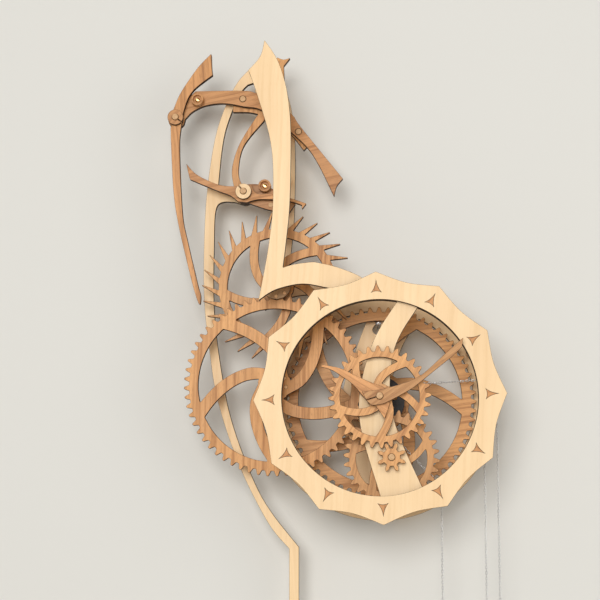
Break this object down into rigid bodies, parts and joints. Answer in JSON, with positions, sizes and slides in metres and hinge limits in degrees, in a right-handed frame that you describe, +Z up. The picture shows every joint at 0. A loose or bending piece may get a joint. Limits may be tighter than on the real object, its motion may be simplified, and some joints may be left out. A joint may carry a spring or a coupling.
{
  "type": "skeleton clock",
  "caption": "Wall-hung wooden gear clock with open frames, a pointed dial, a grasshopper escapement, a long pendulum and a chain-hung drive weight.",
  "frame": {"origin": "on the centre arbor's axis, in the plane of the wall", "axes": "+X right, +Z up, +Y into the wall; the dial faces -Y"},
  "size_m": [0.3564, 0.131, 1.189],
  "materials": {
    "maple": "satin",
    "cherry": "satin",
    "walnut": "satin",
    "oak_peg": "matte",
    "black": "satin",
    "brass": "satin",
    "steel": "satin"
  },
  "bodies": {
    "frame": {"front_frame": "maple", "back_frame": "maple", "dial_ring": "maple", "wall_block_lower": "maple", "wall_block_upper": "maple", "frame_pillar_1": "maple", "frame_pillar_2": "maple", "frame_pillar_3": "maple", "frame_pillar_4": "maple", "hanger_screw": "steel", "feed_post": "brass", "slack_post": "brass", "chain_hook": "brass", "drive_chain": "steel"},
    "centre": {"great_wheel": "cherry", "centre_arbor": "oak_peg", "cannon_pinion": "cherry", "click": "walnut", "minute_hand": "cherry"},
    "chain_drive": {"chain_wheel": "black", "ratchet_wheel": "black"},
    "third": {"third_wheel": "cherry", "third_pinion": "oak_peg", "third_arbor": "oak_peg"},
    "escape": {"escape_wheel": "cherry", "escape_pinion": "oak_peg", "escape_arbor": "oak_peg"},
    "minute_work": {"minute_wheel": "cherry", "minute_pinion": "cherry", "minute_arbor": "oak_peg"},
    "hour_work": {"hour_wheel": "cherry", "hour_pipe": "oak_peg", "hour_hand": "walnut"},
    "pendulum": {"pendulum_plate": "maple", "pendulum_arbor": "oak_peg", "anchor_frame": "cherry", "arc_arm": "walnut", "lower_arm": "walnut", "anchor_peg_1": "oak_peg", "anchor_peg_2": "oak_peg", "entry_pivot": "oak_peg", "exit_pivot": "oak_peg", "entry_cup": "walnut", "exit_cup": "walnut", "rating_rod": "brass"},
    "entry": {"entry_pallet": "walnut", "entry_collar": "walnut"},
    "exit": {"exit_pallet": "walnut", "exit_collar": "maple"},
    "bob": {"bob": "brass", "rating_nut": "brass"},
    "feed_pulley": {"feed_pulley": "black"},
    "slack_pulley": {"slack_pulley": "black"},
    "weight": {"drive_weight": "brass", "weight_hanger": "brass", "weight_chain": "steel", "return_chain": "steel"},
    "weight_pulley": {"weight_pulley": "black"},
    "counterweight": {"counterweight": "brass", "slack_chain": "steel"}
  },
  "joints": [
    {"name": "centre_turn", "type": "hinge", "parent": "frame", "child": "centre", "pos_m": [0, 0, 0], "axis": [0, 1, 0], "continuous": true},
    {"name": "third_turn", "type": "hinge", "parent": "frame", "child": "third", "pos_m": [-0.10676, 0, 0.01634], "axis": [0, 1, 0], "continuous": true},
    {"name": "escape_turn", "type": "hinge", "parent": "frame", "child": "escape", "pos_m": [-0.10444, 0, 0.11831], "axis": [0, 1, 0], "continuous": true},
    {"name": "minute_turn", "type": "hinge", "parent": "frame", "child": "minute_work", "pos_m": [0.01104, 0, -0.05898], "axis": [0, 1, 0], "continuous": true},
    {"name": "hour_turn", "type": "hinge", "parent": "frame", "child": "hour_work", "pos_m": [0, 0, 0], "axis": [0, 1, 0], "continuous": true},
    {"name": "pendulum_swing", "type": "hinge", "parent": "frame", "child": "pendulum", "pos_m": [-0.0965, 0, 0.297], "axis": [0, 1, 0], "range_deg": [-3, 3]},
    {"name": "entry_turn", "type": "hinge", "parent": "pendulum", "child": "entry", "pos_m": [-0.2122, 0, 0.2991], "axis": [0, 1, 0], "range_deg": [-3.5, 3.5]},
    {"name": "exit_turn", "type": "hinge", "parent": "pendulum", "child": "exit", "pos_m": [-0.14, 0, 0.2186], "axis": [0, 1, 0], "range_deg": [-3.5, 3.5]},
    {"name": "bob_height", "type": "slide", "parent": "pendulum", "child": "bob", "axis": [0, 0, 1], "range_m": [-0.008, 0.008]},
    {"name": "weight_travel", "type": "slide", "parent": "frame", "child": "weight", "axis": [0, 0, -1], "range_m": [-0.28, 0.28], "deforming": ["weight_chain", "return_chain"]},
    {"name": "chain_wheel_turn", "type": "hinge", "parent": "centre", "child": "chain_drive", "pos_m": [0, 0, 0], "axis": [0, 1, 0], "continuous": true},
    {"name": "feed_pulley_turn", "type": "hinge", "parent": "frame", "child": "feed_pulley", "pos_m": [0.1114, 0, 0.0155], "axis": [0, 1, 0], "continuous": true},
    {"name": "slack_pulley_turn", "type": "hinge", "parent": "frame", "child": "slack_pulley", "pos_m": [0.0546, 0, -0.088], "axis": [0, 1, 0], "continuous": true},
    {"name": "weight_pulley_turn", "type": "hinge", "parent": "weight", "child": "weight_pulley", "pos_m": [0.1112, 0, -0.52], "axis": [0, 1, 0], "continuous": true},
    {"name": "counterweight_travel", "type": "slide", "parent": "frame", "child": "counterweight", "axis": [0, 0, 1], "range_m": [-0.56, 0.56], "deforming": ["slack_chain"]}
  ],
  "couplings": [
    {"joint": "third_turn", "follows": "centre_turn", "ratio": -8},
    {"joint": "escape_turn", "follows": "centre_turn", "ratio": 60},
    {"joint": "minute_turn", "follows": "centre_turn", "ratio": -0.33333},
    {"joint": "hour_turn", "follows": "centre_turn", "ratio": 0.083333},
    {"joint": "entry_turn", "follows": "pendulum_swing", "ratio": -1},
    {"joint": "exit_turn", "follows": "pendulum_swing", "ratio": -1},
    {"joint": "chain_wheel_turn", "follows": "weight_travel", "rad_per_m": 133.33},
    {"joint": "feed_pulley_turn", "follows": "weight_travel", "rad_per_m": 312.5},
    {"joint": "slack_pulley_turn", "follows": "weight_travel", "rad_per_m": -312.5},
    {"joint": "weight_pulley_turn", "follows": "weight_travel", "rad_per_m": 151.52},
    {"joint": "counterweight_travel", "follows": "weight_travel", "ratio": 2}
  ]
}
